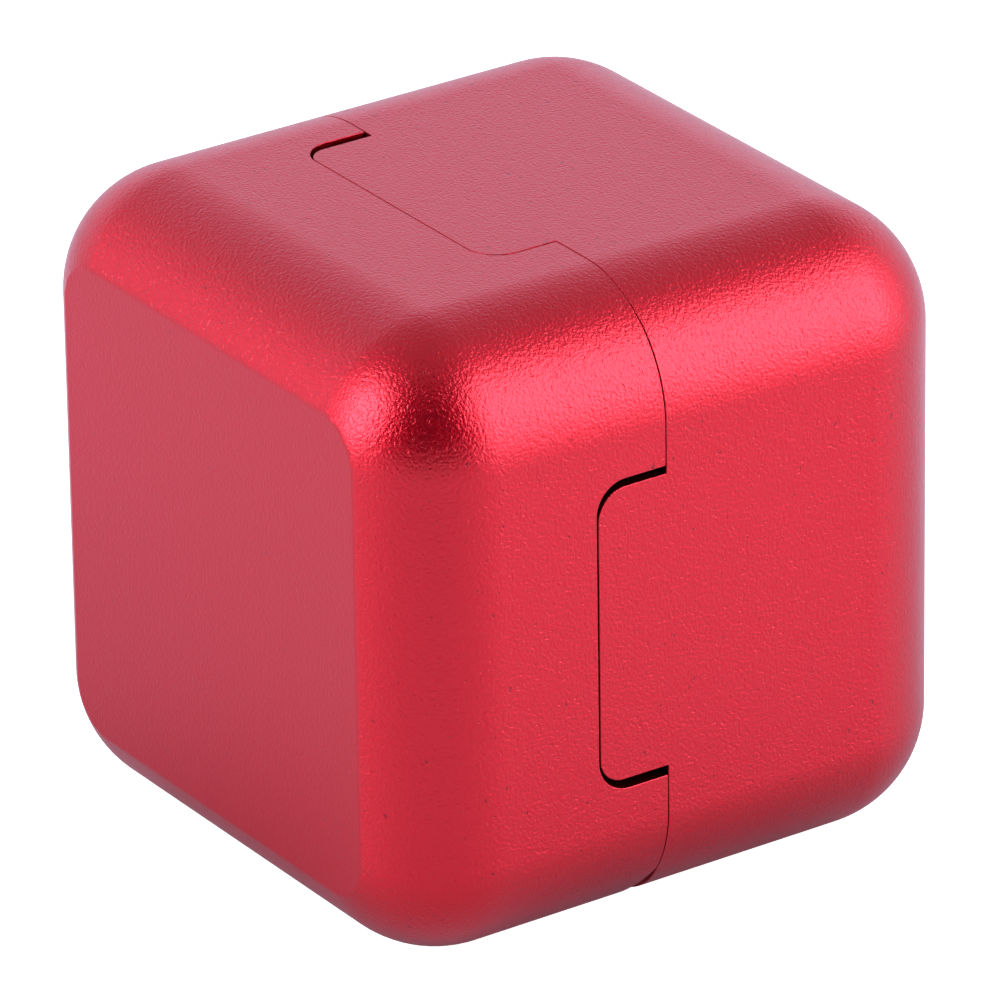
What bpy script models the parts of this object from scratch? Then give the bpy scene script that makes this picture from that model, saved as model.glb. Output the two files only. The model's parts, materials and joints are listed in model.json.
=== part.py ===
"""A folding cube spinner: two aluminium half shells hinged to a block that holds a ball bearing.

Units are metres and +Z is up. The origin is the middle of the cube's underside. The shells part on a
plane across Y: the front shell is on its -Y side, the rear shell on its +Y side. Three tongues on the
rear shell lie in three notches of the front shell. Each shell swings a quarter turn about its own pin
beside the underside, and the opened toy then spins on the bearing between two finger caps.
"""

import math

import bmesh
import bpy
from mathutils import Matrix

MM = 0.001

# Cube
WIDTH = 30.0 * MM
DEPTH = 30.1 * MM
HEIGHT = 30.0 * MM
EDGE_RADIUS = 5.75 * MM
END_CUT = 0.4 * MM
HALF_WIDTH = WIDTH / 2
HALF_DEPTH = DEPTH / 2
MID_Z = HEIGHT / 2

# Seam, tongues and notches
SEAM_Y = -1.25 * MM
SEAM_GAP = 0.12 * MM
TONGUE_LENGTH = 3.55 * MM
SIDE_TONGUE = (-7.0 * MM, 7.0 * MM)
SIDE_TONGUE_CORNERS = (1.2 * MM, 1.4 * MM)
TOP_TONGUE = (-7.5 * MM, 6.8 * MM)
TOP_TONGUE_CORNERS = (1.0 * MM, 1.5 * MM)
SIDE_NOTCH = (-7.46 * MM, 7.38 * MM)
SIDE_NOTCH_CORNERS = (1.6 * MM, 1.5 * MM)
TOP_NOTCH = (-8.05 * MM, 6.9 * MM)
TOP_NOTCH_CORNERS = (1.5 * MM, 1.6 * MM)
SIDE_TIP_GAP = 0.15 * MM
TOP_TIP_GAP = 0.09 * MM

# Shell walls and the slot in the underside that the bearing block fills
SIDE_WALL = 3.5 * MM
TOP_WALL = 3.5 * MM
OUTER_WALL = 3.0 * MM
FLOOR_WALL = 3.2 * MM
POCKET_CORNER = 5.0 * MM
SLOT_HALF = 8.7 * MM
SLOT_TOP = 5.0 * MM
SLOT_CORNER = 1.0 * MM
INNER_WALL_Y = HALF_DEPTH - OUTER_WALL

# Hinges
PIN_Y = 10.2 * MM
PIN_Z = 2.6 * MM
PIN_RADIUS = 0.75 * MM
PIN_HALF = 7.9 * MM
KNUCKLE_RADIUS = 1.8 * MM
KNUCKLE_BORE = 0.83 * MM
LUG_BORE = 0.80 * MM
LUG_HALF = 5.0 * MM
KNUCKLE_INNER_X = 5.2 * MM
LEAF_HALF = 8.0 * MM
LEAF_THICKNESS = 1.0 * MM
LEAF_TOP = 14.6 * MM
LEAF_CORNER = 1.6 * MM
LEAF_Y = PIN_Y + KNUCKLE_RADIUS
RELIEF_FRONT = 1.2 * MM
RELIEF_REAR = 0.32 * MM
SLOT_END_Y = PIN_Y + 2.1 * MM

# Leaf screws and closing magnets
SCREW_X = 5.0 * MM
SCREW_Z = 11.4 * MM
SCREW_HEAD = 1.45 * MM
SCREW_SHANK = 0.75 * MM
SCREW_LENGTH = 3.2 * MM
SCREW_SOCKET = 0.6 * MM
SCREW_SOCKET_DEPTH = 0.5 * MM
MAGNET_RADIUS = 1.5 * MM
MAGNET_LENGTH = 2.0 * MM
MAGNET_X = 11.7 * MM
MAGNET_Z = 26.7 * MM
MAGNET_SUNK = 0.05 * MM
FIT_GAP = 0.06 * MM

# Bearing, 12.7 x 6.35 x 4.76 mm, and the block round it
BEARING_OUTER = 6.35 * MM
BEARING_BORE = 3.175 * MM
BEARING_WIDTH = 4.76 * MM
BEARING_LOW = 3.02 * MM
BEARING_MID = BEARING_LOW + BEARING_WIDTH / 2
BALL_RADIUS = 0.794 * MM
BALL_COUNT = 10
PITCH_RADIUS = 4.763 * MM
RACE_RADIUS = 0.86 * MM
OUTER_SHOULDER = 5.22 * MM
INNER_SHOULDER = 4.3 * MM
RING_CHAMFER = 0.2 * MM
CAGE_INNER = 4.46 * MM
CAGE_OUTER = 5.07 * MM
CAGE_LOW = BEARING_MID - 0.3 * MM
CAGE_HIGH = BEARING_MID + 1.3 * MM
CAGE_POCKET = 0.87 * MM
BLOCK_HALF_X = 8.4 * MM
BLOCK_HALF_Y = 8.0 * MM
BLOCK_CORNER = 2.5 * MM
BLOCK_TOP = 9.0 * MM
SEAT_RADIUS = 6.42 * MM
LIP_RADIUS = 5.6 * MM
LIP_LOW = 2.2 * MM
RECESS_RADIUS = 7.2 * MM
CLIP_LOW = 7.9 * MM
CLIP_HIGH = 8.5 * MM
CLIP_OUTER = 6.95 * MM
CLIP_INNER = 5.9 * MM
CLIP_GROOVE = 7.1 * MM
CLIP_OPENING = math.radians(44)
CLIP_EAR_SPAN = math.radians(13)
CLIP_EAR_DEPTH = 0.75 * MM

# Finger caps
CAP_RADIUS = 6.9 * MM
CAP_FACE_LOW = 0.15 * MM
CAP_BACK_LOW = 1.9 * MM
CAP_FACE_HIGH = 11.3 * MM
CAP_BACK_HIGH = 9.35 * MM
CAP_EDGE = 0.4 * MM
CAP_DISH_RADIUS = 5.7 * MM
CAP_DISH_DEPTH = 0.7 * MM
BOSS_RADIUS = 4.0 * MM
STEM_RADIUS = 3.12 * MM
STEM_SPLIT = BEARING_MID
STUD_RADIUS = 1.45 * MM
STUD_BORE = 1.55 * MM
STUD_TOP = 8.2 * MM
STUD_BORE_TOP = 8.6 * MM
FACE_GAP = 0.04 * MM

TURNED_STEPS = 32
SMALL_STEPS = 20
ARC_STEPS = 6
EDGE_SEGMENTS = 8
MERGE = 1e-7
PAST = 2.0 * MM


# ---------------------------------------------------------------- shapes


def arc(centre, radius, start, end, steps=ARC_STEPS):
    """Points along an arc, both ends included; angles in degrees."""
    angles = [math.radians(start + (end - start) * i / steps) for i in range(steps + 1)]
    return [(centre[0] + radius * math.cos(a), centre[1] + radius * math.sin(a)) for a in angles]


def rounded_rectangle(u_low, u_high, v_low, v_high, radius, steps=ARC_STEPS):
    """The outline of a rectangle with four round corners."""
    corners = (
        (u_high - radius, v_high - radius, 0),
        (u_low + radius, v_high - radius, 90),
        (u_low + radius, v_low + radius, 180),
        (u_high - radius, v_low + radius, 270),
    )
    points = []
    for u, v, start in corners:
        points += arc((u, v), radius, start, start + 90, steps)
    return points


def rectangle(u_low, u_high, v_low, v_high):
    return [(u_low, v_low), (u_high, v_low), (u_high, v_high), (u_low, v_high)]


def circle(centre, radius, steps=SMALL_STEPS):
    return arc(centre, radius, 0, 360, steps)[:-1]


def prism(outline, axis, low, high):
    """The outline extruded along an axis. Its (u, v) are (y, z), (x, z) or (x, y) for X, Y or Z."""
    place = {
        "X": lambda u, v: (low, u, v),
        "Y": lambda u, v: (u, low, v),
        "Z": lambda u, v: (u, v, low),
    }[axis]
    along = {"X": (1, 0, 0), "Y": (0, 1, 0), "Z": (0, 0, 1)}[axis]
    shape = bmesh.new()
    face = shape.faces.new([shape.verts.new(place(u, v)) for u, v in outline])
    made = bmesh.ops.extrude_face_region(shape, geom=[face])
    moved = [v for v in made["geom"] if isinstance(v, bmesh.types.BMVert)]
    bmesh.ops.translate(shape, verts=moved, vec=[(high - low) * a for a in along])
    bmesh.ops.recalc_face_normals(shape, faces=shape.faces)
    return shape


def turned(profile, steps=TURNED_STEPS):
    """A (radius, height) profile spun about Z. One that starts on the axis is left open there."""
    shape = bmesh.new()
    points = [shape.verts.new((radius, 0, height)) for radius, height in profile]
    pairs = list(zip(points, points[1:]))
    if profile[0][0] > 0:
        pairs.append((points[-1], points[0]))
    edges = [shape.edges.new(pair) for pair in pairs]
    bmesh.ops.spin(
        shape,
        geom=points + edges,
        cent=(0, 0, 0),
        axis=(0, 0, 1),
        angle=math.tau,
        steps=steps,
        use_merge=True,
    )
    bmesh.ops.remove_doubles(shape, verts=shape.verts, dist=MERGE)
    bmesh.ops.recalc_face_normals(shape, faces=shape.faces)
    return shape


def turned_to(matrix, profile, steps=TURNED_STEPS):
    shape = turned(profile, steps)
    bmesh.ops.transform(shape, matrix=matrix, verts=shape.verts)
    return shape


def joined(shapes):
    """Several shapes as one mesh of separate bodies, for use as a cutter."""
    whole = bmesh.new()
    for shape in shapes:
        part = bpy.data.meshes.new("part")
        shape.to_mesh(part)
        shape.free()
        whole.from_mesh(part)
        bpy.data.meshes.remove(part)
    return whole


def rounded_box():
    """The whole cube, every edge rounded. The two end faces are cut past the start of the rounds."""
    shape = bmesh.new()
    bmesh.ops.create_cube(shape, size=1.0)
    bmesh.ops.scale(shape, vec=(WIDTH, DEPTH + 2 * END_CUT, HEIGHT), verts=shape.verts)
    bmesh.ops.translate(shape, vec=(0, 0, MID_Z), verts=shape.verts)
    bmesh.ops.bevel(
        shape,
        geom=shape.edges[:] + shape.verts[:],
        offset=EDGE_RADIUS,
        segments=EDGE_SEGMENTS,
        profile=0.5,
        affect="EDGES",
    )
    bmesh.ops.remove_doubles(shape, verts=shape.verts, dist=MERGE)
    for away in (-1, 1):
        cut = bmesh.ops.bisect_plane(
            shape,
            geom=shape.verts[:] + shape.edges[:] + shape.faces[:],
            plane_co=(0, away * HALF_DEPTH, 0),
            plane_no=(0, away, 0),
            clear_outer=True,
        )
        border = [item for item in cut["geom_cut"] if isinstance(item, bmesh.types.BMEdge)]
        bmesh.ops.contextual_create(shape, geom=border)
    bmesh.ops.recalc_face_normals(shape, faces=shape.faces)
    return shape


# ---------------------------------------------------------------- objects


def clear_scene():
    for thing in list(bpy.data.objects):
        bpy.data.objects.remove(thing)


def metal(name, colour, roughness, metallic=1.0):
    material = bpy.data.materials.new(name)
    material.use_nodes = True
    shader = material.node_tree.nodes["Principled BSDF"]
    shader.inputs["Base Color"].default_value = (*colour, 1.0)
    shader.inputs["Roughness"].default_value = roughness
    shader.inputs["Metallic"].default_value = metallic
    return material


def add(name, shape, material=None):
    """A new object from a shape. With no material it is a cutter, which isn't rendered."""
    mesh = bpy.data.meshes.new(name)
    shape.to_mesh(mesh)
    shape.free()
    thing = bpy.data.objects.new(name, mesh)
    bpy.context.scene.collection.objects.link(thing)
    if material is None:
        thing.hide_render = True
        thing.display_type = "WIRE"
    else:
        mesh.materials.append(material)
        mesh.shade_smooth()
        mesh.set_sharp_from_angle(angle=math.radians(30))
    return thing


def boolean(thing, other, operation="DIFFERENCE"):
    modifier = thing.modifiers.new(f"{operation.lower()}_{other.name}", "BOOLEAN")
    modifier.operation = operation
    modifier.solver = "EXACT"
    modifier.object = other


def pivot(name, location):
    empty = bpy.data.objects.new(name, None)
    empty.location = location
    empty.empty_display_size = 4 * MM
    bpy.context.scene.collection.objects.link(empty)
    return empty


def hang(things, parent):
    """Parents things to a pivot and leaves them where they are."""
    inverse = Matrix.Translation(parent.location).inverted()
    for thing in things:
        thing.parent = parent
        thing.matrix_parent_inverse = inverse


# ---------------------------------------------------------------- shells


def tab_outline(span, corners, tip_y, mouth_y):
    """A tab in (side, y): its two tip corners are rounded, and it runs on past its mouth."""
    low, high = span
    near, far = corners
    return (
        [(high, mouth_y)]
        + arc((high - far, tip_y + far), far, 0, -90)
        + arc((low + near, tip_y + near), near, -90, -180)
        + [(low, mouth_y)]
    )


def tabs(side, side_corners, top, top_corners, side_tip, top_tip):
    """Prisms for the left, right and top tabs, from inside the pocket to outside the cube."""
    mouth_y = SEAM_Y + PAST
    heights = [MID_Z + z for z in side]
    flank = [(y, z) for z, y in tab_outline(heights, side_corners, side_tip, mouth_y)]
    roof = tab_outline(top, top_corners, top_tip, mouth_y)
    inner_x = HALF_WIDTH - SIDE_WALL - PAST
    return [
        prism(flank, "X", inner_x, HALF_WIDTH + PAST),
        prism(flank, "X", -HALF_WIDTH - PAST, -inner_x),
        prism(roof, "Z", HEIGHT - TOP_WALL - PAST, HEIGHT + PAST),
    ]


def tongue_prisms():
    tip_y = SEAM_Y - SEAM_GAP / 2 - TONGUE_LENGTH
    return tabs(SIDE_TONGUE, SIDE_TONGUE_CORNERS, TOP_TONGUE, TOP_TONGUE_CORNERS, tip_y, tip_y)


def notch_prisms():
    tip_y = SEAM_Y - SEAM_GAP / 2 - TONGUE_LENGTH
    return tabs(
        SIDE_NOTCH,
        SIDE_NOTCH_CORNERS,
        TOP_NOTCH,
        TOP_NOTCH_CORNERS,
        tip_y - SIDE_TIP_GAP,
        tip_y - TOP_TIP_GAP,
    )


def pocket_outline():
    return rounded_rectangle(
        -HALF_WIDTH + SIDE_WALL, HALF_WIDTH - SIDE_WALL, FLOOR_WALL, HEIGHT - TOP_WALL, POCKET_CORNER
    )


def relief(face_y, away, depth):
    """A thin wedge off the parting face below the pins, where the two shells roll past each other."""
    outline = [
        (face_y - away * PAST, -PAST),
        (face_y - away * PAST, PIN_Z),
        (face_y, PIN_Z),
        (face_y + away * depth * (1 + PAST / PIN_Z), -PAST),
    ]
    return prism(outline, "X", -HALF_WIDTH - PAST, HALF_WIDTH + PAST)


def slot(away):
    """The opening in a shell's underside for the block and its hinge."""
    ends = sorted((away * SLOT_END_Y, -away * HALF_DEPTH))
    outline = rounded_rectangle(-SLOT_HALF, SLOT_HALF, ends[0], ends[1], SLOT_CORNER, 3)
    return prism(outline, "Z", -PAST, SLOT_TOP)


def along_y(x, z, y, away):
    """Carries a shape turned about Z to one about an axis along Y: its height 0 lands on y."""
    return Matrix.Translation((x, y, z)) @ Matrix.Rotation(math.radians(-90 * away), 4, "X")


def magnet_places(face_y, away):
    return [along_y(side * MAGNET_X, MAGNET_Z, face_y, away) for side in (-1, 1)]


def screw_places(away):
    return [
        along_y(side * SCREW_X, SCREW_Z, away * (LEAF_Y - LEAF_THICKNESS), away) for side in (-1, 1)
    ]


def blind_holes(face_y, away):
    """Cutters for the two magnet seats in the parting face and the two screw holes in the outer wall."""
    seat = MAGNET_RADIUS + FIT_GAP
    seat_depth = MAGNET_SUNK + MAGNET_LENGTH + FIT_GAP
    magnet_hole = [(0, seat_depth), (seat, seat_depth), (seat, -PAST), (0, -PAST)]
    hole = SCREW_SHANK + FIT_GAP
    screw_hole = [
        (0, SCREW_LENGTH + FIT_GAP),
        (hole, SCREW_LENGTH + FIT_GAP),
        (hole, 0),
        (0, 0),
    ]
    return [turned_to(m, magnet_hole, SMALL_STEPS) for m in magnet_places(face_y, away)] + [
        turned_to(m, screw_hole, SMALL_STEPS) for m in screw_places(away)
    ]


def shell(name, away, material, tongues):
    """One half of the cube. away is -1 for the front shell, +1 for the rear one."""
    face_y = SEAM_Y + away * SEAM_GAP / 2
    whole = add(name, rounded_box(), material)
    beyond = sorted((face_y, -away * (HALF_DEPTH + PAST)))
    other_half = add(
        f"{name}_other_half",
        prism(
            rectangle(-WIDTH, WIDTH, -PAST, HEIGHT + PAST),
            "Y",
            beyond[0],
            beyond[1],
        ),
    )
    if tongues:
        boolean(other_half, add(f"{name}_tongues", joined(tongue_prisms())))
    boolean(whole, other_half)
    if not tongues:
        boolean(whole, add(f"{name}_notches", joined(notch_prisms())))
    boolean(whole, add(f"{name}_pocket", pocket(away)))
    boolean(whole, add(f"{name}_slot", slot(away)))
    depth = RELIEF_FRONT if away < 0 else RELIEF_REAR
    boolean(whole, add(f"{name}_relief", relief(face_y, away, depth)))
    boolean(whole, add(f"{name}_holes", joined(blind_holes(face_y, away))))
    return whole


def pocket(away):
    """The hollow of a shell, from beyond the tips of its tongues to its outer wall."""
    mouth = SEAM_Y - away * (TONGUE_LENGTH + PAST)
    return prism(pocket_outline(), "Y", *sorted((mouth, away * INNER_WALL_Y)))


def magnets(name, face_y, away, material):
    body = [
        (0, MAGNET_SUNK + MAGNET_LENGTH),
        (MAGNET_RADIUS, MAGNET_SUNK + MAGNET_LENGTH),
        (MAGNET_RADIUS, MAGNET_SUNK),
        (0, MAGNET_SUNK),
    ]
    return [
        add(f"{name}_{side}", turned_to(m, body, SMALL_STEPS), material)
        for side, m in zip(("left", "right"), magnet_places(face_y, away))
    ]


# ---------------------------------------------------------------- hinges


def hinge_leaf(name, away, material):
    """A plate along the shell's outer wall, with two rolled knuckles round the pin."""
    low, high = LEAF_Y - LEAF_THICKNESS, LEAF_Y
    meet = math.degrees(math.acos((low - PIN_Y) / KNUCKLE_RADIUS))
    roll = [(away * u, v) for u, v in arc((PIN_Y, PIN_Z), KNUCKLE_RADIUS, meet, 360, 16)]
    knuckle = roll + [(away * high, LEAF_TOP / 2), (away * low, LEAF_TOP / 2)]
    plate = rounded_rectangle(
        -LEAF_HALF, LEAF_HALF, PIN_Z + KNUCKLE_RADIUS + 0.3 * MM, LEAF_TOP, LEAF_CORNER
    )
    leaf = add(name, prism(plate, "Y", *sorted((away * low, away * high))), material)
    for side in (-1, 1):
        ends = sorted((side * KNUCKLE_INNER_X, side * LEAF_HALF))
        boolean(leaf, add(f"{name}_knuckle", prism(knuckle, "X", *ends)), "UNION")
    bore = prism(circle((away * PIN_Y, PIN_Z), KNUCKLE_BORE), "X", -WIDTH, WIDTH)
    boolean(leaf, add(f"{name}_bore", bore))
    sink = [
        (0, LEAF_THICKNESS + PAST),
        (SCREW_SHANK + FIT_GAP, LEAF_THICKNESS + PAST),
        (SCREW_SHANK + FIT_GAP, SCREW_HEAD - SCREW_SHANK),
        (SCREW_HEAD + FIT_GAP, 0),
        (SCREW_HEAD + FIT_GAP, -PAST),
        (0, -PAST),
    ]
    cut = joined([turned_to(m, sink, SMALL_STEPS) for m in screw_places(away)])
    boolean(leaf, add(f"{name}_screw_holes", cut))
    return leaf


def leaf_screws(name, away, material):
    """Two countersunk screws with a hexagon socket."""
    head_depth = SCREW_HEAD - SCREW_SHANK
    sunk = 0.02 * MM
    body = [
        (0, SCREW_LENGTH),
        (SCREW_SHANK, SCREW_LENGTH),
        (SCREW_SHANK, head_depth + sunk),
        (SCREW_HEAD, sunk),
        (0, sunk),
    ]
    made = []
    for side, place in zip(("left", "right"), screw_places(away)):
        screw = add(f"{name}_{side}", turned_to(place, body, SMALL_STEPS), material)
        socket = prism(circle((0, 0), SCREW_SOCKET, 6), "Z", -PAST, SCREW_SOCKET_DEPTH)
        bmesh.ops.transform(socket, matrix=place, verts=socket.verts)
        boolean(screw, add(f"{name}_{side}_socket", socket))
        made.append(screw)
    return made


def hinge_pin(name, away, material):
    pin = prism(circle((away * PIN_Y, PIN_Z), PIN_RADIUS), "X", -PIN_HALF, PIN_HALF)
    return add(name, pin, material)


# ---------------------------------------------------------------- bearing block


def bearing_block(material):
    """The block: a square body, a lug at each end for the hinge pins, and the stepped bore."""
    plan = rounded_rectangle(
        -BLOCK_HALF_X, BLOCK_HALF_X, -BLOCK_HALF_Y, BLOCK_HALF_Y, BLOCK_CORNER
    )
    block = add("bearing_block", prism(plan, "Z", 0, BLOCK_TOP), material)
    for away in (-1, 1):
        stop_z = PIN_Z - (SLOT_END_Y - PIN_Y) + 0.1 * MM
        root = BLOCK_HALF_Y - PAST
        end = arc((PIN_Y, PIN_Z), KNUCKLE_RADIUS, -90, 90, 12)
        lug = [(root, stop_z), (PIN_Y - 0.6 * MM, stop_z)] + end + [(root, PIN_Z + KNUCKLE_RADIUS)]
        lug = [(away * u, v) for u, v in lug]
        boolean(block, add("lug", prism(lug, "X", -LUG_HALF, LUG_HALF)), "UNION")
    bore = [
        (0, -PAST),
        (RECESS_RADIUS, -PAST),
        (RECESS_RADIUS, LIP_LOW),
        (LIP_RADIUS, LIP_LOW),
        (LIP_RADIUS, BEARING_LOW - FACE_GAP),
        (SEAT_RADIUS, BEARING_LOW - FACE_GAP),
        (SEAT_RADIUS, CLIP_LOW - FACE_GAP),
        (CLIP_GROOVE, CLIP_LOW - FACE_GAP),
        (CLIP_GROOVE, CLIP_HIGH + FACE_GAP),
        (SEAT_RADIUS, CLIP_HIGH + FACE_GAP),
        (SEAT_RADIUS, BLOCK_TOP + PAST),
        (0, BLOCK_TOP + PAST),
    ]
    boolean(block, add("block_bore", turned(bore)))
    pin_bores = [
        prism(circle((away * PIN_Y, PIN_Z), LUG_BORE), "X", -WIDTH, WIDTH) for away in (-1, 1)
    ]
    boolean(block, add("pin_bores", joined(pin_bores)))
    return block


def retaining_ring(material):
    """The open spring ring above the bearing, with an eared end on each side of its gap."""
    half_gap = math.degrees(CLIP_OPENING) / 2
    ear = math.degrees(CLIP_EAR_SPAN)
    outline = (
        arc((0, 0), CLIP_OUTER, half_gap, 360 - half_gap, TURNED_STEPS)
        + arc((0, 0), CLIP_INNER - CLIP_EAR_DEPTH, 360 - half_gap, 360 - half_gap - ear, 3)
        + arc((0, 0), CLIP_INNER, 360 - half_gap - ear, half_gap + ear, TURNED_STEPS)
        + arc((0, 0), CLIP_INNER - CLIP_EAR_DEPTH, half_gap + ear, half_gap, 3)
    )
    return add("retaining_ring", prism(outline, "Z", CLIP_LOW, CLIP_HIGH), material)


# ---------------------------------------------------------------- bearing


def ring_profile(face_radius, shoulder, inward):
    """A bearing ring: a plain face, chamfered corners and a round groove on its shoulder."""
    low, high = BEARING_LOW, BEARING_LOW + BEARING_WIDTH
    half = math.degrees(math.acos(abs(shoulder - PITCH_RADIUS) / RACE_RADIUS))
    middle = 180 if inward else 0
    groove = arc((PITCH_RADIUS, BEARING_MID), RACE_RADIUS, middle - half, middle + half, 8)
    if inward:
        groove.reverse()
    step = -RING_CHAMFER if inward else RING_CHAMFER
    return (
        [(shoulder, low)]
        + groove
        + [(shoulder, high), (face_radius - step, high), (face_radius, high - RING_CHAMFER)]
        + [(face_radius, low + RING_CHAMFER), (face_radius - step, low)]
    )


def bearing_cage(material):
    """The crown cage: a ring with an open pocket for each ball."""
    profile = [
        (CAGE_INNER, CAGE_LOW),
        (CAGE_OUTER, CAGE_LOW),
        (CAGE_OUTER, CAGE_HIGH),
        (CAGE_INNER, CAGE_HIGH),
    ]
    cage = add("bearing_cage", turned(profile, 4 * BALL_COUNT), material)
    pockets = []
    for turn in ball_angles():
        pocket_cut = prism(
            circle((0, BEARING_MID), CAGE_POCKET, 12), "X", CAGE_INNER - PAST, CAGE_OUTER + PAST
        )
        bmesh.ops.rotate(pocket_cut, matrix=Matrix.Rotation(turn, 3, "Z"), verts=pocket_cut.verts)
        pockets.append(pocket_cut)
    boolean(cage, add("cage_pockets", joined(pockets)))
    return cage


def ball_angles():
    return [math.tau * i / BALL_COUNT for i in range(BALL_COUNT)]


def bearing_balls(material):
    shape = bmesh.new()
    bmesh.ops.create_icosphere(shape, subdivisions=2, radius=BALL_RADIUS)
    first = add("bearing_ball_01", shape, material)
    balls = [first]
    for number in range(2, BALL_COUNT + 1):
        ball = bpy.data.objects.new(f"bearing_ball_{number:02d}", first.data)
        bpy.context.scene.collection.objects.link(ball)
        balls.append(ball)
    for ball, turn in zip(balls, ball_angles()):
        ball.location = (
            PITCH_RADIUS * math.cos(turn),
            PITCH_RADIUS * math.sin(turn),
            BEARING_MID,
        )
    return balls


# ---------------------------------------------------------------- finger caps


def dish(face_z, inward):
    """The hollow of a cap's face, from its middle to its rim."""
    steps = 5
    return [
        (
            CAP_DISH_RADIUS * i / steps,
            face_z + inward * CAP_DISH_DEPTH * (1 - (i / steps) ** 2),
        )
        for i in range(steps + 1)
    ]


def lower_cap(material):
    """The cap in the underside. Its stem fills the bearing's bore, and its stud holds the upper cap."""
    boss_top = BEARING_LOW - FACE_GAP
    profile = dish(CAP_FACE_LOW, 1) + [
        (CAP_RADIUS - CAP_EDGE, CAP_FACE_LOW),
        (CAP_RADIUS, CAP_FACE_LOW + CAP_EDGE),
        (CAP_RADIUS, CAP_BACK_LOW),
        (BOSS_RADIUS, CAP_BACK_LOW),
        (BOSS_RADIUS, boss_top),
        (STEM_RADIUS, boss_top),
        (STEM_RADIUS, STEM_SPLIT - FACE_GAP),
        (STUD_RADIUS, STEM_SPLIT - FACE_GAP),
        (STUD_RADIUS, STUD_TOP),
        (0, STUD_TOP),
    ]
    return add("lower_finger_cap", turned(profile), material)


def upper_cap(material):
    """The cap inside the closed cube, screwed on to the stud."""
    boss_low = BEARING_LOW + BEARING_WIDTH + FACE_GAP
    profile = dish(CAP_FACE_HIGH, -1) + [
        (CAP_RADIUS - CAP_EDGE, CAP_FACE_HIGH),
        (CAP_RADIUS, CAP_FACE_HIGH - CAP_EDGE),
        (CAP_RADIUS, CAP_BACK_HIGH),
        (BOSS_RADIUS, CAP_BACK_HIGH),
        (BOSS_RADIUS, boss_low),
        (STEM_RADIUS, boss_low),
        (STEM_RADIUS, STEM_SPLIT + FACE_GAP),
        (STUD_BORE, STEM_SPLIT + FACE_GAP),
        (STUD_BORE, STUD_BORE_TOP),
        (0, STUD_BORE_TOP),
    ]
    return add("upper_finger_cap", turned(profile), material)


# ---------------------------------------------------------------- the toy


def main():
    clear_scene()
    red = metal("red_anodised", (0.55, 0.01, 0.03), 0.35)
    steel = metal("steel", (0.62, 0.62, 0.60), 0.25)
    nickel = metal("nickel", (0.75, 0.72, 0.66), 0.15)
    brass = metal("cage_brass", (0.72, 0.5, 0.22), 0.3)

    block = pivot("block_frame", (0, 0, 0))
    front_axis = pivot("front_hinge_axis", (0, -PIN_Y, PIN_Z))
    rear_axis = pivot("rear_hinge_axis", (0, PIN_Y, PIN_Z))
    spin_axis = pivot("spin_axis", (0, 0, BEARING_MID))
    orbit_axis = pivot("orbit_axis", (0, 0, BEARING_MID))

    outer_ring = turned(ring_profile(BEARING_OUTER, OUTER_SHOULDER, False))
    inner_ring = turned(ring_profile(BEARING_BORE, INNER_SHOULDER, True))
    hang(
        [
            bearing_block(red),
            retaining_ring(steel),
            add("bearing_outer_ring", outer_ring, steel),
            hinge_pin("front_hinge_pin", -1, steel),
            hinge_pin("rear_hinge_pin", 1, steel),
        ],
        block,
    )
    hang([add("bearing_inner_ring", inner_ring, steel), lower_cap(red), upper_cap(red)], spin_axis)
    hang([bearing_cage(brass)] + bearing_balls(steel), orbit_axis)
    for name, away, axis in (("front", -1, front_axis), ("rear", 1, rear_axis)):
        face_y = SEAM_Y + away * SEAM_GAP / 2
        hang(
            [shell(f"{name}_shell", away, red, tongues=away > 0)]
            + [hinge_leaf(f"{name}_hinge_leaf", away, steel)]
            + leaf_screws(f"{name}_leaf_screw", away, steel)
            + magnets(f"{name}_magnet", face_y, away, nickel),
            axis,
        )


main()
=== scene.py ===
"""The looks of the folding cube spinner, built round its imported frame.

Every CAD node is stood for by a finer mesh with broken edges, in the same place and on the same body.
Lengths are in metres, in the CAD's frame: the origin is the middle of the closed cube's underside.
"""

import json
import math

import bmesh
import bpy
from mathutils import Matrix, Vector


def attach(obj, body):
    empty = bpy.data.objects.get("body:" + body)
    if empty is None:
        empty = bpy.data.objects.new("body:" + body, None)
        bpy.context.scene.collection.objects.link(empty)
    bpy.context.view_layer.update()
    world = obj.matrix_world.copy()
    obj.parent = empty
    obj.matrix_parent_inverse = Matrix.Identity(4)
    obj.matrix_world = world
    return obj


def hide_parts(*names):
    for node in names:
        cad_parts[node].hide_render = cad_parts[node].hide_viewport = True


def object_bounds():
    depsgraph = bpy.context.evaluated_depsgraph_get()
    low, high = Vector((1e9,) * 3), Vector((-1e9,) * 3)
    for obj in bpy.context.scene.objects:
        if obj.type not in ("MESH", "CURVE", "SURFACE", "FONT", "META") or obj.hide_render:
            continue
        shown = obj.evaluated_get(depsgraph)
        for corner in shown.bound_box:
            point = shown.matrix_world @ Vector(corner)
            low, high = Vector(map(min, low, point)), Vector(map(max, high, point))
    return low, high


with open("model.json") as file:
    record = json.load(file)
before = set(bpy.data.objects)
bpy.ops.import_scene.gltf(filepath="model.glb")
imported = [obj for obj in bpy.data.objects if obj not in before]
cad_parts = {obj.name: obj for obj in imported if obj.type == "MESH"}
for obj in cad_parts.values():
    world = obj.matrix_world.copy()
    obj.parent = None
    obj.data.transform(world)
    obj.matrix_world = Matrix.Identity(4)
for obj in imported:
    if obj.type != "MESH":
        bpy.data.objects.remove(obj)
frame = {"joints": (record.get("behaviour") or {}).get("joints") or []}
CAD_LOW, CAD_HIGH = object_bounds()

MM = 0.001
SIDES = (("front", -1), ("rear", 1))

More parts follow.
